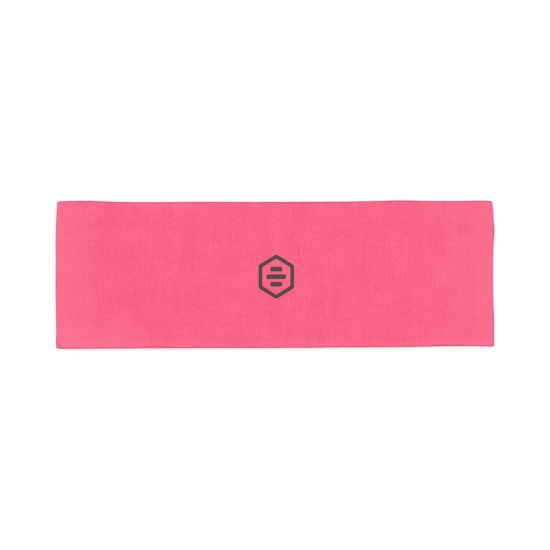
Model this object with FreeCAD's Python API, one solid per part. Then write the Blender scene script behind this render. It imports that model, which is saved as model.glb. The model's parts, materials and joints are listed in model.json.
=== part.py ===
# Sports headband: a wide, flat, two-ply stretch-knit loop, lying flat with its printed front half up.
#
# Frame: +Z up, +X along the flat width, +Y towards the band's top edge as worn.
# Origin: centre of the flat band, on the surface that it lies on. Units: millimetres.
#
# The band is a strip of outer fabric and a strip of lining, seamed along both long edges, turned right side out and
# closed into a loop by one seam at the centre back. Laid flat it is two straight halves, front over back, joined by a
# round fold at each end. Both halves are divided into zones, because cloth bends and a solid doesn't: each zone of
# outer fabric and lining is one rigid piece with its own turned-in seam margins, and the zones turn about upright lines
# close inside the lining.
# Each end fold turns about two such lines, a quarter turn each. The chain of zones starts and ends at the
# centre-back seam.
import FreeCAD
import Part
import math
import os

V = FreeCAD.Vector
os.makedirs("parts", exist_ok=True)

# ---- driving dimensions ------------------------------------------------------------------------------------------
FLAT_WIDTH = 240.0       # across the flat loop, fold to fold
BAND_HEIGHT = 80.0       # top edge to bottom edge
OUTER_T = 0.7            # outer stretch knit
SEAM_T = 0.5             # turned-in seam margins of both plies, pressed flat between them
LINING_T = 0.6           # lining knit
INNER_GAP = 5.0          # springy gap between the two halves of the loop
ZONES = 11               # zones in each half
ZONE_GAP = 0.3           # slit between neighbouring zones
SEAM_W = 6.0             # width of the overlocked edge seam
EDGE_R = 0.45            # rolled edge of each ply
BACK_SEAM_W = 6.0        # width of each seam allowance at the centre back
LABEL_X, LABEL_Y, LABEL_T = 9.6, 24.0, 0.3
LABEL_OFF = 0.4          # from the seam line to the label
STITCH_L, STITCH_W, STITCH_T, STITCH_N = 2.2, 0.35, 0.12, 7
EMBLEM_W, EMBLEM_H, EMBLEM_T = 19.4, 24.4, 0.2
EMBLEM_RING = 2.0        # line width of the emblem's outline
EMBLEM_DX, EMBLEM_DY = 1.0, -1.2

# ---- derived -----------------------------------------------------------------------------------------------------
HALF_T = OUTER_T + SEAM_T + LINING_T
MID_Z = HALF_T + INNER_GAP / 2.0            # middle plane of the loop
TOTAL_T = 2 * MID_Z
HINGE_X = FLAT_WIDTH / 2.0 - MID_Z - ZONE_GAP / 2.0   # where each end fold starts
ZONE = 2 * HINGE_X / ZONES
HY = BAND_HEIGHT / 2.0
FOLD_R = MID_Z - HALF_T / 2                # middle of the cloth, round the fold
AXIS_OFF = FOLD_R * math.sqrt(0.5)
AXIS_Z = MID_Z - AXIS_OFF                  # height of the back half's bend axes, and of each fold's lower axis
FOLD_AXIS_X = HINGE_X + ZONE_GAP / 2.0 + AXIS_OFF
print("bend axes at z", AXIS_Z, "and", 2 * MID_Z - AXIS_Z, "fold axes at x", FOLD_AXIS_X)
print("total thickness", TOTAL_T, "hinge x", HINGE_X, "zone", ZONE, "mid z", MID_Z)
print("loop length on the middle of the plies", 4 * HINGE_X + 2 * math.pi * (MID_Z - HALF_T / 2))


def write(shape, name):
    shape.exportStep("parts/%s.step" % name)


def ply(x0, x1, z0, z1, round_top):
    """A flat ply from x0 to x1 and z0 to z1, its two long edges rounded on the side that faces out of the loop."""
    r = EDGE_R
    if round_top:
        pts = [V(x0, -HY, z0), V(x0, HY, z0), V(x0, HY, z1 - r), V(x0, HY - r, z1), V(x0, -HY + r, z1), V(x0, -HY, z1 - r)]
        k = r * (1 - math.sqrt(0.5))
        mids = {2: V(x0, HY - k, z1 - k), 4: V(x0, -HY + k, z1 - k)}
    else:
        pts = [V(x0, -HY, z1), V(x0, HY, z1), V(x0, HY, z0 + r), V(x0, HY - r, z0), V(x0, -HY + r, z0), V(x0, -HY, z0 + r)]
        k = r * (1 - math.sqrt(0.5))
        mids = {2: V(x0, HY - k, z0 + k), 4: V(x0, -HY + k, z0 + k)}
    edges = []
    for i in range(6):
        a, b = pts[i], pts[(i + 1) % 6]
        edges.append(Part.Arc(a, mids[i], b).toShape() if i in mids else Part.LineSegment(a, b).toShape())
    solid = Part.Face(Part.Wire(edges)).extrude(V(x1 - x0, 0, 0))
    return solid


def block(x0, x1, y0, y1, z0, z1):
    return Part.makeBox(x1 - x0, y1 - y0, z1 - z0, V(x0, y0, z0))


def edge_strips(x0, x1, z0, z1):
    return Part.makeCompound([block(x0, x1, HY - SEAM_W, HY, z0, z1), block(x0, x1, -HY, -HY + SEAM_W, z0, z1)])


def half_ring(side, r_in, r_out, y0, y1):
    """Half a tube round the end of the loop, outside the point where the fold starts."""
    centre = V(side * (HINGE_X + ZONE_GAP / 2), y0, MID_Z)
    outer = Part.makeCylinder(r_out, y1 - y0, centre, V(0, 1, 0))
    inner = Part.makeCylinder(r_in, y1 - y0, centre, V(0, 1, 0))
    tube = outer.cut(inner)
    x = centre.x
    keep = block(x, x + 20, y0 - 1, y1 + 1, -5, TOTAL_T + 5) if side > 0 else block(x - 20, x, y0 - 1, y1 + 1, -5, TOTAL_T + 5)
    return tube.common(keep)


def zone(name, x0, x1, front):
    """One zone of one half: each ply with its two turned-in margins, which meet in the middle of the cloth."""
    g = ZONE_GAP / 2
    a, b = x0 + g, x1 - g
    if front:
        z = TOTAL_T
        middle = z - OUTER_T - SEAM_T / 2
        write(Part.makeCompound([ply(a, b, z - OUTER_T, z, True), edge_strips(a, b, middle, z - OUTER_T)]), "outer_" + name)
        write(Part.makeCompound([ply(a, b, z - HALF_T, z - OUTER_T - SEAM_T, False), edge_strips(a, b, z - OUTER_T - SEAM_T, middle)]),
              "lining_" + name)
    else:
        middle = OUTER_T + SEAM_T / 2
        write(Part.makeCompound([ply(a, b, 0, OUTER_T, False), edge_strips(a, b, OUTER_T, middle)]), "outer_" + name)
        write(Part.makeCompound([ply(a, b, OUTER_T + SEAM_T, HALF_T, True), edge_strips(a, b, middle, OUTER_T + SEAM_T)]),
              "lining_" + name)


# ---- the two halves, zone by zone, numbered outwards from the centre --------------------------------------------------
zone("back_centre_left", -ZONE / 2, 0, False)
zone("back_centre_right", 0, ZONE / 2, False)
zone("front_centre", -ZONE / 2, ZONE / 2, True)
for i in range(1, (ZONES + 1) // 2):
    near, far = ZONE * (i - 0.5), ZONE * (i + 0.5)
    for half, front in (("front", True), ("back", False)):
        zone("%s_left_%d" % (half, i), -far, -near, front)
        zone("%s_right_%d" % (half, i), near, far, front)

# ---- the end folds, which change shape when the loop opens ---------------------------------------------------------
for side, word in ((-1, "left"), (1, "right")):
    r0, r1 = MID_Z - HALF_T + LINING_T, MID_Z - OUTER_T
    rm = (r0 + r1) / 2
    margins = lambda ra, rb: [half_ring(side, ra, rb, HY - SEAM_W, HY), half_ring(side, ra, rb, -HY, -HY + SEAM_W)]
    write(Part.makeCompound([half_ring(side, r1, MID_Z, -HY, HY)] + margins(rm, r1)), "outer_fold_" + word)
    write(Part.makeCompound([half_ring(side, MID_Z - HALF_T, r0, -HY, HY)] + margins(r0, rm)), "lining_fold_" + word)

# ---- centre-back seam: the two pressed allowances between the plies -------------------------------------------------
g = ZONE_GAP / 2
write(block(-g - BACK_SEAM_W, -g, -HY + SEAM_W + 0.2, HY - SEAM_W - 0.2, OUTER_T, OUTER_T + SEAM_T), "back_seam_allowance_left")
write(block(g, g + BACK_SEAM_W, -HY + SEAM_W + 0.2, HY - SEAM_W - 0.2, OUTER_T, OUTER_T + SEAM_T), "back_seam_allowance_right")

# ---- care label, caught by the centre-back seam on the inside of the loop -------------------------------------------
x1 = -LABEL_OFF
write(block(x1 - LABEL_X, x1, -LABEL_Y / 2, LABEL_Y / 2, HALF_T, HALF_T + LABEL_T), "care_label")
pitch = LABEL_Y / STITCH_N
write(Part.makeCompound([
    block(x1 - 1.4, x1 - 1.4 + STITCH_W, -LABEL_Y / 2 + pitch * (i + 0.5) - STITCH_L / 2, -LABEL_Y / 2 + pitch * (i + 0.5) + STITCH_L / 2,
          HALF_T + LABEL_T, HALF_T + LABEL_T + STITCH_T) for i in range(STITCH_N)]), "label_stitches")

# ---- printed front emblem: a plain six-sided outline round three bars -----------------------------------------------
def hexagon(w, h, z):
    hw, hh = w / 2.0, h / 2.0
    q = hh * 0.52
    pts = [V(EMBLEM_DX + x, EMBLEM_DY + y, z) for x, y in ((0, hh), (hw, q), (hw, -q), (0, -hh), (-hw, -q), (-hw, q))]
    return Part.Face(Part.makePolygon(pts + [pts[0]]))


ring = hexagon(EMBLEM_W, EMBLEM_H, TOTAL_T).cut(hexagon(EMBLEM_W - 2 * EMBLEM_RING, EMBLEM_H - 2 * EMBLEM_RING * 1.16, TOTAL_T))
write(ring.extrude(V(0, 0, EMBLEM_T)), "emblem_outline")
bars = []
for y, w in ((4.1, 6.4), (0.0, 10.6), (-4.1, 6.4)):
    bars.append(block(EMBLEM_DX - w / 2, EMBLEM_DX + w / 2, EMBLEM_DY + y - 1.25, EMBLEM_DY + y + 1.25, TOTAL_T, TOTAL_T + EMBLEM_T))
write(Part.makeCompound(bars), "emblem_bars")
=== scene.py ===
import json
import math
import bpy
import numpy as np
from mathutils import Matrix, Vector

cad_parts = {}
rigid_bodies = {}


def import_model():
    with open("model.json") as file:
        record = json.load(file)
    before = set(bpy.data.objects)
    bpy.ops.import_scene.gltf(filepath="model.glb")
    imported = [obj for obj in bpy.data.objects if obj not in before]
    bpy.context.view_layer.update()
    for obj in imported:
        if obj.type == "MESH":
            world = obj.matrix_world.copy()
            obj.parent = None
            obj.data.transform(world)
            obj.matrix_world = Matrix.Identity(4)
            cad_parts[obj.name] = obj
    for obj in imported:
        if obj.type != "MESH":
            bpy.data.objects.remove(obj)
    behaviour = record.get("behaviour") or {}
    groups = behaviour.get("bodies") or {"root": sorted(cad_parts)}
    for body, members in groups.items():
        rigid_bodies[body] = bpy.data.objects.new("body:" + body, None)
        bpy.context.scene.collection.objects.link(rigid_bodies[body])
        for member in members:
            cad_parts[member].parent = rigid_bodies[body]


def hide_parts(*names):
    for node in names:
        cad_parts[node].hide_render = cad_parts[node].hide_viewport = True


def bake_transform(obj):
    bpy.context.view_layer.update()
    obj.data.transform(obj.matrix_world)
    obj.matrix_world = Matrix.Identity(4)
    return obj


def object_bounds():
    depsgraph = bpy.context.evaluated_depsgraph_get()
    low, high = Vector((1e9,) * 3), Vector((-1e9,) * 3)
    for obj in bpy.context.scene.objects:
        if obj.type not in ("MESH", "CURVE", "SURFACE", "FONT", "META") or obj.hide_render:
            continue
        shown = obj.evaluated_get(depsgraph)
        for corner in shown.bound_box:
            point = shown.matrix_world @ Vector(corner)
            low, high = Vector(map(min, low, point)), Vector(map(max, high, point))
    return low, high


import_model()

CAD_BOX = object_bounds()
MM = 0.001

# ---- sizes that repeat the CAD model's ---------------------------------------------------------------------------
NZ = 5                     # zones beside each centre zone, in each half
ZONE = 231.1 / (2 * NZ + 1)
MID = 4.3                  # middle plane of the loop
FOLD_X = 115.7             # where the end folds start
FOLD_R = 3.4               # middle of the cloth, round the fold
APEX_X = FOLD_X + FOLD_R
assert abs(CAD_BOX[1][0] - 0.120) < 5e-4 and abs(CAD_BOX[1][1] - 0.040) < 5e-4


def smooth(t):
    t = np.clip(t, 0.0, 1.0)
    return t * t * (3 - 2 * t)


# ---- outline of the flat band, as seen from above ------------------------------------------------------------------
TOP = np.array([[-119, 40.15], [-106, 40.45], [-84, 39.85], [-68, 39.75], [-41, 39.95], [0, 39.76], [14, 39.75], [36, 39.98],
                [58, 40.45], [69, 40.7], [80, 40.5], [91, 40.33], [102, 40.33], [113, 40.5], [119, 40.45]]) - [0, 0.12]
BOTTOM = np.array([[-119, -40.55], [-95, -40.5], [-68, -40.35], [-41, -40.2], [0, -40.15], [36, -39.9], [58, -39.72], [80, -39.42],
                   [91, -39.08], [102, -39.0], [113, -39.18], [119, -39.42]]) + [0, -0.16]
LEFT = np.array([[-39, 0.1], [-25, 0.05], [-8.5, -0.2], [8, -0.12], [19, -0.15], [27, -0.02], [30, 0.12], [35, 0.45], [39, 0.8]])
RIGHT = np.array([[-39, 0.1], [-25, 0.2], [-14, -0.2], [-8, -0.3], [8, -0.28], [19, 0.0], [24, 0.38], [29.5, -0.02], [35, -0.35], [39, -0.8]]) + [0, 0.42]


def curve(table, at):
    """A smooth line through a table's points."""
    x, y = table[:, 0], table[:, 1]
    m = np.gradient(y, x)
    i = np.clip(np.searchsorted(x, at) - 1, 0, len(x) - 2)
    h = x[i + 1] - x[i]
    t = np.clip((at - x[i]) / h, 0, 1)
    return ((2 * t**3 - 3 * t**2 + 1) * y[i] + (t**3 - 2 * t**2 + t) * h * m[i] + (-2 * t**3 + 3 * t**2) * y[i + 1]
            + (t**3 - t**2) * h * m[i + 1])


def crease(x, y, ax, ay, bx, by, width, height):
    """A soft ridge or furrow from a to b."""
    dx, dy = bx - ax, by - ay
    length = math.hypot(dx, dy)
    t = ((x - ax) * dx + (y - ay) * dy) / length**2
    d = ((x - ax) * -dy + (y - ay) * dx) / length
    along = smooth(t / 0.3 + 0.35) * smooth((1 - t) / 0.3 + 0.35)
    return height * along * np.exp(-(d / width) ** 2)


def front_relief(x, y):
    """How far the front half stands above or below its straight place: it sags between the folds, with slack creases."""
    ax = np.abs(x)
    z = -1.9 * smooth((114 - ax) / 30) - 0.35 * smooth((90 - ax) / 70)
    z = z + 0.16 * np.sin(x / 17.0 + 0.7) * np.sin(y / 21.0 + 1.1) + 0.12 * np.sin(x / 9.5 + y / 26.0) * np.cos(y / 14.0 - 0.6)
    z = z + crease(x, y, -118, 28, -84, 37.5, 2.6, 0.34) + crease(x, y, -117, 21, -88, 31, 2.6, -0.22)
    z = z + crease(x, y, -113, 36, -96, 39.5, 2.0, -0.2)
    z = z + crease(x, y, -114, -20, -84, -34, 3.2, 0.3) + crease(x, y, -104, -22, -80, -31, 3.0, -0.18)
    z = z + crease(x, y, 92, 36, 116, 22, 3.2, 0.26) + crease(x, y, 86, 31, 108, 18, 3.0, -0.18)
    z = z + crease(x, y, 82, -30, 114, -33, 3.4, 0.24) + crease(x, y, 66, -12, 76, 20, 3.4, 0.13)
    z = z + crease(x, y, -33, -36.6, -9, -35.6, 1.5, -0.3) + crease(x, y, 14, -33.2, 31, -31.4, 1.6, -0.22)
    z = z + crease(x, y, 62, -35.4, 78, -35.0, 1.5, -0.26) + crease(x, y, 38, 36.8, 86, 37.4, 1.6, -0.3)
    z = z + crease(x, y, -52, 10, -44, -24, 4.0, 0.12) + crease(x, y, 28, 22, 36, -18, 4.2, 0.1)
    return z


def back_relief(x, y):
    z = 0.12 + 0.1 * np.sin(x / 13.0 + 1.9) * np.sin(y / 17.0 + 0.4)
    return np.maximum(z, 0.0)


# ---- path of the middle of the cloth, from the back seam round one fold to the front centre -----------------------------
def corner(n=240):
    """The lower quarter of the fold: a turn from level to upright, a little tighter in its middle."""
    s = np.linspace(0, 1, n)
    turn = np.radians(90) * (0.45 * s + 0.55 * smooth(s))
    c, d = np.cos(turn), np.sin(turn)
    x = np.concatenate([[0], np.cumsum((c[1:] + c[:-1]) / 2)]) / (n - 1)
    z = np.concatenate([[0], np.cumsum((d[1:] + d[:-1]) / 2)]) / (n - 1)
    k = FOLD_R / z[-1]
    return x * k, z * k, turn, s * k


CX, CZ, CTURN, CS = corner()
STRAIGHT = APEX_X - CX[-1]           # straight run of the back half, seam to fold
QUARTER = CS[-1]
HALF = 2 * (STRAIGHT + QUARTER)      # seam to front centre, round one fold


def path(s):
    """Place, outward normal and how far round the fold (0 back, 1 front) at s millimetres from the back seam, to the left."""
    r = np.where(s <= HALF / 2, s, HALF - s)
    a = np.clip(r - STRAIGHT, 0, QUARTER)
    x = -(np.minimum(r, STRAIGHT) + np.interp(a, CS, CX))
    z = (MID - FOLD_R) + np.interp(a, CS, CZ)
    turn = np.interp(a, CS, CTURN)
    nx, nz = -np.sin(turn), -np.cos(turn)
    upper = s > HALF / 2
    z = np.where(upper, 2 * MID - z, z)
    nz = np.where(upper, -nz, nz)
    around = np.where(upper, 1 - turn / math.pi, turn / math.pi)
    return x, z, nx, nz, around


# ---- thickness across the band: e is the distance in from the nearest long edge --------------------------------------------
EDGE_R = 0.62


def roll(e, r=EDGE_R):
    return np.sqrt(np.clip(1 - (1 - np.clip(e / r, 0, 1)) ** 2, 0, 1))


def allowance(e, xs):
    """1 where the turned-in seam edges fill the cloth: along both long edges, and beside the back seam."""
    return np.maximum(smooth((6.6 - e) / 1.5), 0.8 * smooth((6.6 - xs) / 1.2))


def layer(name, e, xs):
    """Distance out from the middle of the cloth. xs is the distance from the back seam, or large elsewhere."""
    edge = roll(e) * roll(xs, 0.85)
    fill = allowance(e, xs)
    if name == "outer_out":
        return 0.05 + (0.71 + 0.14 * fill) * edge
    if name == "outer_in":
        return layer("outer_out", e, xs) - (0.13 + 0.53 * edge)
    if name == "lining_in":
        return -0.05 - (0.65 + 0.20 * fill) * edge
    if name == "lining_out":
        return layer("lining_in", e, xs) + (0.12 + 0.46 * edge)
    if name == "seam_out":
        return 0.02 + 0.19 * edge
    if name == "seam_in":
        return -0.02 - 0.24 * edge


def place(s, v, side, lay, inset=0.0):
    """Points of the cloth, in millimetres: s from the back seam, v from -1 (bottom edge) to 1 (top edge), side -1 left
    or 1 right, lay one of layer's names."""
    x, z, nx, nz, around = path(s)
    x, nx = x * -side, nx * -side
    front = smooth(around * 1.6 - 0.3)
    top_f, bottom_f = curve(TOP, x), curve(BOTTOM, x)
    top_b = 40.0 + 0.5 * (top_f - 40.0) + 0.18 * np.sin(x / 23.0 + 0.5)
    bottom_b = -40.0 + 0.5 * (bottom_f + 40.0) + 0.15 * np.sin(x / 19.0 + 2.0)
    top = top_b + (top_f - top_b) * front - inset
    bottom = bottom_b + (bottom_f - bottom_b) * front + inset
    y = (top + bottom) / 2 + v * (top - bottom) / 2
    e = (1 - np.abs(v)) * (top - bottom) / 2
    xs = np.where(around < 0.01, np.abs(x), 99.0)
    n = layer(lay, e, xs)
    wide = smooth((np.abs(x) - 78) / 36)
    shift = np.where(x < 0, curve(LEFT, y), curve(RIGHT, y)) * wide
    up = front * front_relief(x, y) + (1 - front) * back_relief(x, y)
    # a crease dies out round the fold
    up = up * np.where(np.abs(x) > FOLD_X - 2, smooth((APEX_X + 0.4 - np.abs(x)) / (APEX_X - FOLD_X + 2.4)), 1.0)
    return x + shift + nx * n, y, z + up + nz * n


# ---- meshes -----------------------------------------------------------------------------------------------------------
def v_steps():
    e = np.array([0, 0.06, 0.16, 0.32, 0.55, 0.85, 1.2, 1.7, 2.4, 3.3, 4.3, 5.0, 5.6, 6.2, 6.9, 7.8])
    inner = np.linspace(9.0, 40.0, 27)
    half = 1 - np.concatenate([e, inner]) / 40.0
    half[-1] = 0.0
    return np.concatenate([-half, half[:-1][::-1]])


V = v_steps()


def s_steps(a, b):
    """Steps along the cloth from a to b: about 1.1 mm, finer round the fold and beside the back seam."""
    pts = [a]
    while pts[-1] < b - 1e-6:
        s = pts[-1]
        if s < 1.0:
            step = 0.12 if s < 0.35 else 0.25
        elif STRAIGHT - 1.2 <= s < HALF - STRAIGHT + 1.2:
            step = 0.32
        else:
            step = 1.12
        pts.append(min(s + step, b))
    if len(pts) > 2 and pts[-1] - pts[-2] < 0.3 * (pts[-2] - pts[-3]):
        pts.pop(-2)
    return np.array(pts)


def new_mesh(name, co, quads, uv, sharp=None):
    me = bpy.data.meshes.new(name)
    me.vertices.add(len(co))
    me.vertices.foreach_set("co", (np.asarray(co) * MM).astype(np.float32).ravel())
    q = np.asarray(quads, np.int32)
    me.loops.add(q.size)
    me.loops.foreach_set("vertex_index", q.ravel())
    me.polygons.add(len(q))
    me.polygons.foreach_set("loop_start", np.arange(0, q.size, 4, dtype=np.int32))
    me.update(calc_edges=True)
    layer_ = me.uv_layers.new(name="UVMap")
    layer_.data.foreach_set("uv", np.asarray(uv)[q.ravel()].astype(np.float32).ravel())
    me.polygons.foreach_set("use_smooth", np.ones(len(q), bool))
    if sharp is not None:
        edges = np.zeros(len(me.edges) * 2, np.int32)
        me.edges.foreach_get("vertices", edges)
        edges = edges.reshape(-1, 2)
        flag = sharp[edges[:, 0]] & sharp[edges[:, 1]]
        attr = me.attributes.get("sharp_edge") or me.attributes.new("sharp_edge", "BOOLEAN", "EDGE")
        attr.data.foreach_set("value", flag)
    me.validate()
    ob = bpy.data.objects.new(name, me)
    bpy.context.scene.collection.objects.link(ob)
    return ob


def slab(name, outer, inner, uv_o, flip):
    """A closed slab between two grids of points, shape (rows, columns, 3)."""
    r, c, _ = outer.shape
    idx = np.arange(r * c).reshape(r, c)
    lo = idx + r * c
    f = []
    a, b, d, e = idx[:-1, :-1].ravel(), idx[1:, :-1].ravel(), idx[1:, 1:].ravel(), idx[:-1, 1:].ravel()
    f.append(np.stack([a, b, d, e], 1))
    a, b, d, e = lo[:-1, :-1].ravel(), lo[:-1, 1:].ravel(), lo[1:, 1:].ravel(), lo[1:, :-1].ravel()
    f.append(np.stack([a, b, d, e], 1))
    for line, rev in ((0, False), (-1, True)):
        for top, bot, sw in ((idx[line, :], lo[line, :], rev), (idx[:, line], lo[:, line], not rev)):
            q = np.stack([top[:-1], top[1:], bot[1:], bot[:-1]], 1)
            f.append(q[:, ::-1] if sw else q)
    q = np.concatenate(f)
    if flip:
        q = q[:, ::-1]
    co = np.concatenate([outer.reshape(-1, 3), inner.reshape(-1, 3)])
    uv = np.concatenate([uv_o.reshape(-1, 2), uv_o.reshape(-1, 2)])
    ends = np.zeros((r, c), bool)
    ends[0, :] = ends[-1, :] = True
    sharp = np.concatenate([ends.ravel(), ends.ravel()])
    return new_mesh(name, co, q, uv, sharp)


def grid(s, v, side, lay, inset=0.0):
    S, W = np.meshgrid(s, v, indexing="ij")
    x, y, z = place(S, W, side, lay, inset)
    return np.stack([x, y, z], -1)


def make_ply(name, a, b, side, lay_out, lay_in, inset=0.0, v=None):
    s = s_steps(a, b)
    v = V if v is None else v
    out, inn = grid(s, v, side, lay_out, inset), grid(s, v, side, lay_in, inset)
    S, W = np.meshgrid(s, v, indexing="ij")
    uv = np.stack([0.5 + side * (HALF - S) / 500.0, 0.1 + W * 0.08], -1)   # 1 unit is 500 mm; 0.5 is the front centre
    return slab(name, out, inn, uv, side > 0)


# ---- materials ----------------------------------------------------------------------------------------------------------
def srgb(r, g, b):
    def lin(c):
        c /= 255.0
        return c / 12.92 if c <= 0.04045 else ((c + 0.055) / 1.055) ** 2.4
    return (lin(r), lin(g), lin(b), 1.0)


def material(name):
    m = bpy.data.materials.new(name)
    m.use_nodes = True
    nt = m.node_tree
    bsdf = nt.nodes["Principled BSDF"]
    return m, nt, bsdf


def node(nt, kind, **values):
    n = nt.nodes.new(kind)
    for k, v in values.items():
        if k in n.inputs:
            n.inputs[k].default_value = v
        else:
            setattr(n, k, v)
    return n


def mapped(nt, scale):
    tc = node(nt, "ShaderNodeUVMap", uv_map="UVMap")
    mp = node(nt, "ShaderNodeMapping")
    mp.inputs["Scale"].default_value = scale
    nt.links.new(tc.outputs["UV"], mp.inputs["Vector"])
    return mp.outputs["Vector"]


def math_node(nt, op, a, b=None, c=None):
    n = nt.nodes.new("ShaderNodeMath")
    n.operation = op
    for i, x in enumerate((a, b, c)):
        if x is None:
            continue
        if isinstance(x, (int, float)):
            n.inputs[i].default_value = x
        else:
            nt.links.new(x, n.inputs[i])
    return n.outputs[0]


def knit(name, base, dark, light, wale=0.66, course=0.52, streak=1.0, sheen=0.2, bump=0.38):
    """Fine single-jersey knit: wales run across the band, with faint barring along them."""
    m, nt, bsdf = material(name)
    L = nt.links.new
    # wales and courses
    vec = mapped(nt, (500.0, 500.0, 1.0))        # millimetres of cloth
    sep = node(nt, "ShaderNodeSeparateXYZ")
    L(vec, sep.inputs[0])
    wob = node(nt, "ShaderNodeTexNoise", Scale=0.16, Detail=3.0, Roughness=0.55)
    L(vec, wob.inputs["Vector"])
    u = math_node(nt, "MULTIPLY_ADD", wob.outputs["Fac"], 1.6, sep.outputs["X"])
    w = math_node(nt, "SINE", math_node(nt, "MULTIPLY", u, 2 * math.pi / wale))
    stagger = math_node(nt, "MULTIPLY", math_node(nt, "ABSOLUTE", w), course * 0.5)
    vv = math_node(nt, "ADD", sep.outputs["Y"], stagger)
    k = math_node(nt, "SINE", math_node(nt, "MULTIPLY", vv, 2 * math.pi / course))
    loops = math_node(nt, "MULTIPLY_ADD", w, 0.6, math_node(nt, "MULTIPLY", k, 0.4))
    fibre = node(nt, "ShaderNodeTexNoise", Scale=6.5, Detail=4.0, Roughness=0.7)
    L(vec, fibre.inputs["Vector"])
    height = math_node(nt, "MULTIPLY_ADD", fibre.outputs["Fac"], 0.9, loops)
    bp = node(nt, "ShaderNodeBump", Strength=bump, Distance=0.00006)
    L(height, bp.inputs["Height"])
    L(bp.outputs["Normal"], bsdf.inputs["Normal"])
    # barring along the wales: narrow, broad, and patchy
    def bars(sx, sy, detail, seed):
        mp = mapped(nt, (500.0 * sx, 500.0 * sy, 1.0))
        off = node(nt, "ShaderNodeVectorMath", operation="ADD")
        off.inputs[1].default_value = (seed, seed * 0.37, 0.0)
        L(mp, off.inputs[0])
        t = node(nt, "ShaderNodeTexNoise", Scale=1.0, Detail=detail, Roughness=0.6)
        L(off.outputs[0], t.inputs["Vector"])
        return t.outputs["Fac"]
    fine = bars(0.75, 0.035, 1.0, 3.1)
    broad = bars(0.12, 0.018, 1.0, 11.7)
    patch = bars(0.055, 0.075, 2.0, 23.9)
    grain = bars(0.80, 0.44, 2.0, 41.3)
    speck = bars(1.9, 1.3, 1.0, 57.9)
    # faint ribs two or three wales wide, in patches
    rib = math_node(nt, "SINE", math_node(nt, "MULTIPLY", u, 2 * math.pi / 2.15))
    where = math_node(nt, "MULTIPLY_ADD", bars(0.07, 0.04, 1.0, 71.3), 2.4, -0.8)
    rib = math_node(nt, "MULTIPLY", rib, where)
    gains = ((fine, 0.55 * streak), (broad, 0.40 * streak), (patch, 0.75), (grain, GRAIN), (speck, SPECK))
    total = math_node(nt, "MULTIPLY_ADD", rib, 0.055 * streak, 0.5 - sum(g for _, g in gains) / 2)
    for source, gain in gains:
        total = math_node(nt, "MULTIPLY_ADD", source, gain, total)
    total = math_node(nt, "MULTIPLY_ADD", w, 0.05, total)
    total = math_node(nt, "MULTIPLY_ADD", k, 0.03, total)
    ramp = node(nt, "ShaderNodeValToRGB")
    ramp.color_ramp.elements[0].position = 0.0
    ramp.color_ramp.elements[0].color = dark
    ramp.color_ramp.elements[1].position = 1.0
    ramp.color_ramp.elements[1].color = light
    em = ramp.color_ramp.elements.new(0.5)
    em.color = base
    L(total, ramp.inputs["Fac"])
    # painted highlight: paler over the end folds, in a few patches and along the front half's long edges
    highlight_attr = node(nt, "ShaderNodeAttribute", attribute_name="painted_light")
    mix = node(nt, "ShaderNodeMix", data_type="RGBA")
    L(highlight_attr.outputs["Fac"], mix.inputs["Factor"])
    L(ramp.outputs["Color"], mix.inputs["A"])
    mix.inputs["B"].default_value = PAINTED_HIGHLIGHT_PINK
    # the cloth turns under along its seamed edges; painted shade there, at the fold ends and in the slack furrows
    line = node(nt, "ShaderNodeAttribute", attribute_name="painted_shade")
    deep = node(nt, "ShaderNodeMix", data_type="RGBA")
    L(line.outputs["Fac"], deep.inputs["Factor"])
    L(mix.outputs["Result"], deep.inputs["A"])
    deep.inputs["B"].default_value = PAINTED_SHADE_PINK
    L(deep.outputs["Result"], bsdf.inputs["Base Color"])
    rough = math_node(nt, "MULTIPLY_ADD", fibre.outputs["Fac"], 0.16, 0.70)
    L(rough, bsdf.inputs["Roughness"])
    bsdf.inputs["Specular IOR Level"].default_value = 0.22
    bsdf.inputs["Sheen Weight"].default_value = sheen
    bsdf.inputs["Sheen Roughness"].default_value = 0.45
    bsdf.inputs["Sheen Tint"].default_value = (1.0, 0.62, 0.74, 1.0)
    return m


def shade(c, r, g, b):
    return (min(c[0] * r, 0.95), c[1] * g, c[2] * b, 1.0)


GRAIN, SPECK = 1.35, 0.50
PINK = (0.643, 0.0768, 0.1492, 1.0)
PINK_DARK = shade(PINK, 0.945, 0.79, 0.865)
PINK_LIGHT = shade(PINK, 1.055, 1.23, 1.145)
# the next two: a painted highlight colour and a painted shade colour
PAINTED_HIGHLIGHT_PINK = shade(PINK, 1.0, 1.32, 1.22)
PAINTED_SHADE_PINK = shade(PINK, 0.70, 0.62, 0.72)
LINING = shade(PINK, 1.0, 1.10, 1.08)
LINING_DARK = shade(LINING, 0.93, 0.80, 0.86)
LINING_LIGHT = shade(LINING, 1.05, 1.20, 1.14)

mat_outer = knit("knit_outer", PINK, PINK_DARK, PINK_LIGHT)
mat_lining = knit("knit_lining", LINING, LINING_DARK, LINING_LIGHT, wale=0.8, course=0.6, streak=0.7, sheen=0.3, bump=0.55)

mat_seam, nt, bsdf = material("overlock_thread")
vec = mapped(nt, (500.0, 500.0, 1.0))
wv = node(nt, "ShaderNodeTexWave", Scale=0.45, Distortion=1.2, Detail=2.0)
wv.bands_direction = "X"
nt.links.new(vec, wv.inputs["Vector"])
rp = node(nt, "ShaderNodeValToRGB")
rp.color_ramp.elements[0].color = (0.44, 0.050, 0.100, 1.0)
rp.color_ramp.elements[1].color = (0.64, 0.085, 0.155, 1.0)
nt.links.new(wv.outputs["Fac"], rp.inputs["Fac"])
nt.links.new(rp.outputs["Color"], bsdf.inputs["Base Color"])
bp = node(nt, "ShaderNodeBump", Strength=0.8, Distance=0.0001)
nt.links.new(wv.outputs["Fac"], bp.inputs["Height"])
nt.links.new(bp.outputs["Normal"], bsdf.inputs["Normal"])
bsdf.inputs["Roughness"].default_value = 0.8

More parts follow.
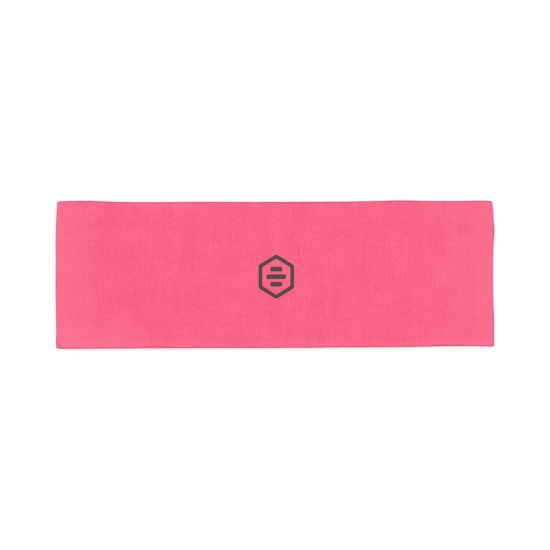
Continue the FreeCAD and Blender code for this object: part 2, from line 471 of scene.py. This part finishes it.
mat_print, nt, bsdf = material("transfer_print")
vec = mapped(nt, (500.0, 500.0, 1.0))
n1 = node(nt, "ShaderNodeTexNoise", Scale=1.6, Detail=4.0, Roughness=0.7)
nt.links.new(vec, n1.inputs["Vector"])
rp = node(nt, "ShaderNodeValToRGB")
rp.color_ramp.elements[0].position = 0.30
rp.color_ramp.elements[0].color = (0.021, 0.014, 0.018, 1.0)
rp.color_ramp.elements[1].position = 0.72
rp.color_ramp.elements[1].color = (0.042, 0.025, 0.032, 1.0)
nt.links.new(n1.outputs["Fac"], rp.inputs["Fac"])
nt.links.new(rp.outputs["Color"], bsdf.inputs["Base Color"])
n2 = node(nt, "ShaderNodeTexNoise", Scale=3.0, Detail=2.0)
nt.links.new(vec, n2.inputs["Vector"])
bp = node(nt, "ShaderNodeBump", Strength=0.4, Distance=0.00004)
nt.links.new(n2.outputs["Fac"], bp.inputs["Height"])
nt.links.new(bp.outputs["Normal"], bsdf.inputs["Normal"])
nt.links.new(math_node(nt, "MULTIPLY_ADD", n1.outputs["Fac"], 0.2, 0.48), bsdf.inputs["Roughness"])
bsdf.inputs["Specular IOR Level"].default_value = 0.3

mat_label, nt, bsdf = material("satin_label")
vec = mapped(nt, (500.0, 500.0, 1.0))
wv = node(nt, "ShaderNodeTexWave", Scale=1.1, Distortion=0.6, Detail=1.0)
wv.bands_direction = "Y"
nt.links.new(vec, wv.inputs["Vector"])
rp = node(nt, "ShaderNodeValToRGB")
rp.color_ramp.elements[0].color = (0.70, 0.69, 0.67, 1.0)
rp.color_ramp.elements[1].color = (0.82, 0.81, 0.79, 1.0)
nt.links.new(wv.outputs["Fac"], rp.inputs["Fac"])
nt.links.new(rp.outputs["Color"], bsdf.inputs["Base Color"])
bp = node(nt, "ShaderNodeBump", Strength=0.4, Distance=0.00003)
nt.links.new(wv.outputs["Fac"], bp.inputs["Height"])
nt.links.new(bp.outputs["Normal"], bsdf.inputs["Normal"])
bsdf.inputs["Roughness"].default_value = 0.42
bsdf.inputs["Sheen Weight"].default_value = 0.2

mat_thread, nt, bsdf = material("sewing_thread")
vec = mapped(nt, (500.0, 500.0, 1.0))
wv = node(nt, "ShaderNodeTexWave", Scale=2.2, Distortion=0.5, Detail=1.0)
wv.bands_direction = "DIAGONAL"
nt.links.new(vec, wv.inputs["Vector"])
rp = node(nt, "ShaderNodeValToRGB")
rp.color_ramp.elements[0].color = (0.62, 0.25, 0.32, 1.0)
rp.color_ramp.elements[1].color = (0.80, 0.42, 0.50, 1.0)
nt.links.new(wv.outputs["Fac"], rp.inputs["Fac"])
nt.links.new(rp.outputs["Color"], bsdf.inputs["Base Color"])
bsdf.inputs["Roughness"].default_value = 0.55


# painted shade spots in the front half's furrows: x, y, width in x, width in y, depth
SHADE = ((-21.0, -36.9, 9.0, 1.8, 0.20), (70.5, -35.6, 8.0, 1.7, 0.15), (22.0, -33.0, 7.0, 1.9, 0.13), (-8.0, -35.2, 5.0, 1.4, 0.07),
         (-60.0, -8.0, 26.0, 20.0, 0.05))


def painted_light(ob, side):
    """Vertex values of painted highlight (near the end folds, in patches, along the front half's long edges) and of
    painted shade (along the long edges, at the fold ends and in slack furrows).
    """
    me = ob.data
    co = np.zeros(len(me.vertices) * 3, np.float32)
    me.vertices.foreach_get("co", co)
    co = co.reshape(-1, 3) / MM
    near = np.clip((np.abs(co[:, 0]) - 88) / 31, 0, 1) ** 1.6
    # painted highlight, lighter towards the end folds and at their apex
    val = 0.72 * near + 0.10 * np.clip((np.abs(co[:, 0]) - 117.2) / 2.6, 0, 1)
    # painted highlight patches: the lower left, and near x = 89 mm and the lower right
    if side < 0:
        val = val + 0.42 * smooth((-20 - co[:, 1]) / 14) * smooth((-58 - co[:, 0]) / 34)
    else:
        val = val + 0.13 * np.exp(-((co[:, 0] - 89) / 11) ** 2)
        val = val + 0.24 * smooth((co[:, 0] - 76) / 8) * smooth((-33 - co[:, 1]) / 4)
    front = smooth((co[:, 2] - MID) / 1.5)
    # painted highlight along the front half's bottom and top edges
    val = val + front * (0.42 * smooth((-34.8 - co[:, 1]) / 4.0) + 0.14 * smooth((co[:, 1] - 30) / 8))
    a = me.attributes.new("painted_light", "FLOAT", "POINT")
    a.data.foreach_set("value", np.clip(val, 0, 1).astype(np.float32))
    # painted shade along the long edges and at the fold ends
    e = np.minimum(curve(TOP, co[:, 0]) - co[:, 1], co[:, 1] - curve(BOTTOM, co[:, 0]))
    line = 0.9 * smooth((1.05 - e) / 0.75) + 0.5 * smooth((np.abs(co[:, 0]) - 118.7) / 1.1)
    # painted shade in the slack furrows of the front half
    for x0, y0, wx, wy, deep in SHADE:
        line = line + front * deep * np.exp(-((co[:, 0] - x0) / wx) ** 2 - ((co[:, 1] - y0) / wy) ** 2)
    # painted shade along slack creases
    for c in ((-117, 21, -86, 31.5, 1.3, 0.13), (-113, 34, -97, 38.5, 1.0, 0.12), (-116, 13, -100, 19, 1.4, 0.07),
              (-112, -21, -84, -32, 1.6, 0.08), (88, 33, 112, 20, 1.6, 0.08)):
        line = line + front * crease(co[:, 0], co[:, 1], *c)
    a = me.attributes.new("painted_shade", "FLOAT", "POINT")
    a.data.foreach_set("value", np.clip(line, 0, 1).astype(np.float32))


# ---- the pieces --------------------------------------------------------------------------------------------------------
PIECES = 2 * NZ + 2
CUTS = ([0.02] + [k * ZONE for k in range(1, NZ + 1)] + [HALF / 2] + [HALF - k * ZONE for k in range(NZ, 0, -1)] + [HALF])
NAMES = (["back_%d" % k for k in range(1, NZ + 1)] + ["fold_lower", "fold_upper"]
         + ["front_%d" % k for k in range(NZ, 0, -1)])


def bodies(word):
    """The bodies of one side in order, from the back seam round the fold to the front centre."""
    return (["back_centre_" + word] + ["back_%s_%d" % (word, k) for k in range(1, NZ + 1)] + ["fold_" + word]
            + ["front_%s_%d" % (word, k) for k in range(NZ, 0, -1)] + ["front_centre"])


SEAM_V = np.array([0.35, 0.7, 1.2, 1.9, 3.0, 4.2, 5.3, 5.9])
outer_pieces, lining_pieces = [], []
for side, word in ((-1, "left"), (1, "right")):
    chain = bodies(word)
    for i in range(PIECES):
        a, b = CUTS[i], CUTS[i + 1]
        piece_name = "%s_%s" % (word, NAMES[i])
        ply = make_ply("outer_knit_" + piece_name, a, b, side, "outer_out", "outer_in")
        lin = make_ply("lining_knit_" + piece_name, a, b, side, "lining_out", "lining_in", inset=0.12)
        # the two strips of turned-in, overlocked edges between the plies
        s = s_steps(a, b)
        strips = []
        for sgn in (-1, 1):
            v = sgn * (1 - SEAM_V / 40.0)
            v = np.sort(v)
            strips.append(make_ply("strip", a, b, side, "seam_out", "seam_in", v=v))
        bpy.ops.object.select_all(action="DESELECT")
        for o in strips:
            o.select_set(True)
        bpy.context.view_layer.objects.active = strips[0]
        bpy.ops.object.join()
        seam = strips[0]
        seam.name = seam.data.name = "edge_seam_" + piece_name
        for o, mat, slot in ((ply, mat_outer, "outer_knit"), (lin, mat_lining, "lining_knit"), (seam, mat_seam, "seam_edges")):
            o.data.materials.append(mat)
            painted_light(o, side)
            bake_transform(o)
        outer_pieces.append(ply)
        lining_pieces.append(lin)
        for kind, o in (("outer", ply), ("lining", lin)):
            if i == 0:
                gone = ["%s_%s" % (kind, chain[0]), "%s_%s" % (kind, chain[1])]
            elif i < PIECES - 1:
                gone = ["%s_%s" % (kind, chain[i + 1])]
            else:
                gone = ["%s_front_centre" % kind]
            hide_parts(*gone)
        if i == 0:
            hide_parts("back_seam_allowance_" + word)

# ---- seam allowances at the centre back are inside the cloth; the label hangs from that seam --------------------------------
LX0, LX1, LY = 0.2, 10.2, 12.0


def lining_top(x, y):
    """Height of the lining's inner face on the back half."""
    s = np.abs(x)
    top, bottom = 40.0, -40.0
    v = y / 40.0
    return place(s, v, -1, "lining_in")[2]


def label():
    xs = -np.concatenate([[LX0, LX0 + 0.3], np.linspace(LX0 + 0.8, LX1 - 0.3, 26), [LX1]])
    ys = np.linspace(-LY, LY, 40)
    X, Y = np.meshgrid(xs, ys, indexing="ij")
    base = lining_top(X, Y)
    far = (-X - LX0) / (LX1 - LX0)
    lift = 0.05 + 0.42 * smooth((far - 0.12) / 0.5) * (0.72 + 0.28 * np.cos(Y / 5.2 + 0.6)) - 0.1 * smooth((far - 0.8) / 0.2)
    curl = 0.25 * smooth((np.abs(Y) - 9.5) / 2.5) * smooth(far / 0.5)
    top = np.stack([X, Y + 0.25 * np.sin(X / 4.0), base + lift + curl + 0.22], -1)
    low = np.stack([X, Y + 0.25 * np.sin(X / 4.0), base + lift + curl], -1)
    uv = np.stack([0.5 + X / 500.0, 0.1 + Y / 500.0], -1)
    return slab("care_label_tape", top, low, uv, False)


tape = label()
tape.data.materials.append(mat_label)
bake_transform(tape)
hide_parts("care_label")


def bead_rows():
    """Sewing stitches through the label's folded root: small arched capsules."""
    co, quads, uv = [], [], []
    n, m = 10, 8
    pitch = 2 * LY / 9
    for j in range(9):
        yc = -LY + pitch * (j + 0.5)
        base = len(co)
        for a in range(n + 1):
            t = a / n
            y = yc + (t - 0.5) * pitch * 0.66
            h = math.sin(math.pi * t)
            r = 0.02 + 0.17 * math.sqrt(max(h, 0.0))
            x = -LX0 - 1.3 + 0.06 * math.sin(9 * t + j)
            z = float(lining_top(np.array(x), np.array(y))) + 0.30 + 0.08 * h
            for b in range(m):
                g = 2 * math.pi * b / m
                co.append((x + r * math.cos(g), y, z + r * 0.8 * math.sin(g)))
                uv.append((0.5 + b / 4000.0, 0.1 + y / 500.0))
        for a in range(n):
            for b in range(m):
                p, q = base + a * m + b, base + a * m + (b + 1) % m
                quads.append((p, q, q + m, p + m))
        for end in (0, n):
            ring = [base + end * m + b for b in range(m)]
            if end:
                ring = ring[::-1]
            quads.append((ring[0], ring[3], ring[2], ring[1]))
            quads.append((ring[0], ring[5], ring[4], ring[3]))
            quads.append((ring[0], ring[7], ring[6], ring[5]))
    return new_mesh("care_label_stitches", np.array(co), quads, np.array(uv))


stitches = bead_rows()
stitches.data.materials.append(mat_thread)
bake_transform(stitches)
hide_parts("label_stitches", )

# ---- printed emblem: a six-sided outline round three bars, in two halves that meet at the front centre ----------------------
EW, EH, ER, EDX, EDY = 19.4, 24.4, 2.0, 1.0, -1.2
PRINT = 0.10


def front_z(x, y):
    x, y = np.asarray(x, float), np.asarray(y, float)
    s = HALF - np.abs(x)
    top, bottom = curve(TOP, x), curve(BOTTOM, x)
    v = (y - (top + bottom) / 2) / ((top - bottom) / 2)
    side = np.where(x < 0, -1.0, 1.0)
    return place(s, v, side, "outer_out")[2]


def hexagon(w, h):
    hw, hh = w / 2.0, h / 2.0
    q = hh * 0.52
    return np.array([(0, hh), (hw, q), (hw, -q), (0, -hh), (-hw, -q), (-hw, q)], float)


def rounded(poly, r, n=6):
    """A closed line round a polygon with arcs of radius r at its corners, with evenly cut sides."""
    out = []
    k = len(poly)
    for i in range(k):
        a, b, c = poly[i - 1], poly[i], poly[(i + 1) % k]
        u1, u2 = (a - b) / np.linalg.norm(a - b), (c - b) / np.linalg.norm(c - b)
        half = math.acos(float(np.clip(u1 @ u2, -1, 1))) / 2
        cut = r / math.tan(half)
        p, q = b + u1 * cut, b + u2 * cut
        centre = b + (u1 + u2) / np.linalg.norm(u1 + u2) * r / math.sin(half)
        a0, a1 = math.atan2(*(p - centre)[::-1]), math.atan2(*(q - centre)[::-1])
        d = (a1 - a0 + math.pi) % (2 * math.pi) - math.pi
        out += [centre + r * np.array([math.cos(a0 + d * t / n), math.sin(a0 + d * t / n)]) for t in range(n + 1)]
    return np.array(out)


def resample(line, n):
    closed = np.vstack([line, line[:1]])
    d = np.concatenate([[0], np.cumsum(np.linalg.norm(np.diff(closed, axis=0), axis=1))])
    t = np.linspace(0, d[-1], n, endpoint=False)
    return np.stack([np.interp(t, d, closed[:, 0]), np.interp(t, d, closed[:, 1])], 1)


def print_shape(name, rows):
    """A thin print from a list of strips; each strip is an array (n, m, 2) of flat points."""
    co, quads, uv = [], [], []
    for g in rows:
        r, c, _ = g.shape
        x, y = g[..., 0] + EDX, g[..., 1] + EDY
        z = front_z(x, y)
        base = sum(len(k) for k in co)
        top = np.stack([x, y, z + PRINT], -1).reshape(-1, 3)
        low = np.stack([x, y, z - 0.05], -1).reshape(-1, 3)
        co += [top, low]
        t = np.stack([0.5 + x / 500.0, 0.1 + y / 500.0], -1).reshape(-1, 2)
        uv += [t, t]
        idx = np.arange(r * c).reshape(r, c) + base
        lo = idx + r * c
        a, b, d, e = idx[:-1, :-1].ravel(), idx[1:, :-1].ravel(), idx[1:, 1:].ravel(), idx[:-1, 1:].ravel()
        quads.append(np.stack([a, b, d, e], 1))
        a, b, d, e = lo[:-1, :-1].ravel(), lo[:-1, 1:].ravel(), lo[1:, 1:].ravel(), lo[1:, :-1].ravel()
        quads.append(np.stack([a, b, d, e], 1))
        for line, rev in ((0, False), (-1, True)):
            for tp, bt, sw in ((idx[line, :], lo[line, :], rev), (idx[:, line], lo[:, line], not rev)):
                q = np.stack([tp[:-1], tp[1:], bt[1:], bt[:-1]], 1)
                quads.append(q[:, ::-1] if sw else q)
    co, uv, q = np.concatenate(co), np.concatenate(uv), np.concatenate(quads)
    sharp = np.ones(len(co), bool)
    ob = new_mesh(name, co, q, uv)
    bm_fix(ob)
    return ob


def bm_fix(ob):
    """Outward faces and flat shading for a print."""
    import bmesh
    bm = bmesh.new()
    bm.from_mesh(ob.data)
    bmesh.ops.recalc_face_normals(bm, faces=bm.faces)
    for f in bm.faces:
        f.smooth = False
    bm.to_mesh(ob.data)
    bm.free()


outline_out = rounded(hexagon(EW, EH), 1.6)
outline_in = rounded(hexagon(EW - 2 * ER, EH - 2 * ER * 1.16), 0.8)


def half_ring(sign):
    """The outline's part on one side of the fabric's front centre (x = 0 of the band, so -EDX of the emblem)."""
    cut = -EDX

    def cross(line, top):
        """The line's points on this side, from where it crosses the cut at the top to where it crosses at the bottom."""
        closed = np.vstack([line, line[:1]])
        d = np.concatenate([[0], np.cumsum(np.linalg.norm(np.diff(closed, axis=0), axis=1))])
        hits = []
        for i in range(len(closed) - 1):
            x0, x1 = closed[i, 0] - cut, closed[i + 1, 0] - cut
            if (x0 < 0) != (x1 < 0):
                t = x0 / (x0 - x1)
                hits.append((d[i] + t * (d[i + 1] - d[i]), closed[i, 1] + t * (closed[i + 1, 1] - closed[i, 1])))
        hits.sort(key=lambda h: -h[1])
        a, b = hits[0][0], hits[-1][0]
        total = d[-1]
        n = 64
        for way in (1, -1):
            span = (b - a) * way % total
            t = (a + way * np.linspace(0, span, n)) % total
            x, y = np.interp(t, d, closed[:, 0]), np.interp(t, d, closed[:, 1])
            if np.sign(np.median(x) - cut) == sign:
                x[0] = x[-1] = cut
                return np.stack([x, y], 1)

    o, i = cross(outline_out, True), cross(outline_in, True)
    return np.stack([o + (i - o) * t for t in np.linspace(0, 1, 5)], 0)


def bar(y, w, sign):
    cut = -EDX
    lo, hi = (-w / 2, cut) if sign < 0 else (cut, w / 2)
    n = 18
    xs = np.linspace(lo, hi, n)
    h = 1.25
    r = 0.5
    out = []
    for x in xs:
        tip = (x - lo) if sign < 0 else (hi - x)
        hh = h - (r - math.sqrt(max(r * r - max(r - tip, 0.0) ** 2, 0.0)))
        out.append([(x, y + hh * t) for t in np.linspace(-1, 1, 6)])
    return np.array(out)


for sign, word in ((-1, "left"), (1, "right")):
    i = PIECES - 1
    chain = bodies(word)
    ring = print_shape("emblem_outline_" + word, [half_ring(sign)])
    bars = print_shape("emblem_bars_" + word, [bar(4.1, 6.4, sign), bar(0.0, 10.6, sign), bar(-4.1, 6.4, sign)])
    for o, n_ in ((ring, "emblem_outline"), (bars, "emblem_bars")):
        o.data.materials.append(mat_print)
        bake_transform(o)
        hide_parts(n_)

# ---- stage, light, camera ------------------------------------------------------------------------------------------------
bpy.ops.mesh.primitive_plane_add(size=12, location=(0, 0, -0.0001))
floor = bpy.context.object
floor.name = "floor"
fm, nt, bsdf = material("floor_paper")
bsdf.inputs["Base Color"].default_value = (0.985, 0.985, 0.985, 1.0)
bsdf.inputs["Roughness"].default_value = 0.95
bsdf.inputs["Specular IOR Level"].default_value = 0.0
floor.data.materials.append(fm)


def area(name, loc, size, power, target=(0, 0, 0)):
    d = bpy.data.lights.new(name, "AREA")
    d.energy = power
    d.shape = "SQUARE"
    d.size = size
    o = bpy.data.objects.new(name, d)
    o.location = loc
    o.rotation_euler = (Vector(target) - Vector(loc)).to_track_quat("-Z", "Y").to_euler()
    bpy.context.scene.collection.objects.link(o)
    return o


area("key", (-0.40, 0.40, 1.9), 1.6, 17.5)
area("fill", (0.8, -0.5, 1.8), 1.6, 7.5)
world = bpy.data.worlds.new("studio")
world.use_nodes = True
world.node_tree.nodes["Background"].inputs["Color"].default_value = (1.0, 1.0, 1.0, 1.0)
world.node_tree.nodes["Background"].inputs["Strength"].default_value = 1.02
bpy.context.scene.world = world

cam_data = bpy.data.cameras.new("camera")
cam_data.lens = 135
cam_data.sensor_width = 36
cam_data.clip_start, cam_data.clip_end = 0.01, 60
cam = bpy.data.objects.new("camera", cam_data)
FIELD = 0.3011
dist = FIELD / 2 / math.tan(math.atan(18.0 / 135.0))
cam.location = (0.0003, -0.0003, dist + 0.006)
cam.rotation_euler = (0, 0, 0)
bpy.context.scene.collection.objects.link(cam)
bpy.context.scene.camera = cam
bpy.context.scene.view_settings.view_transform = "Standard"
bpy.context.scene.view_settings.look = "None"

for o in bpy.context.scene.objects:
    o.select_set(False)
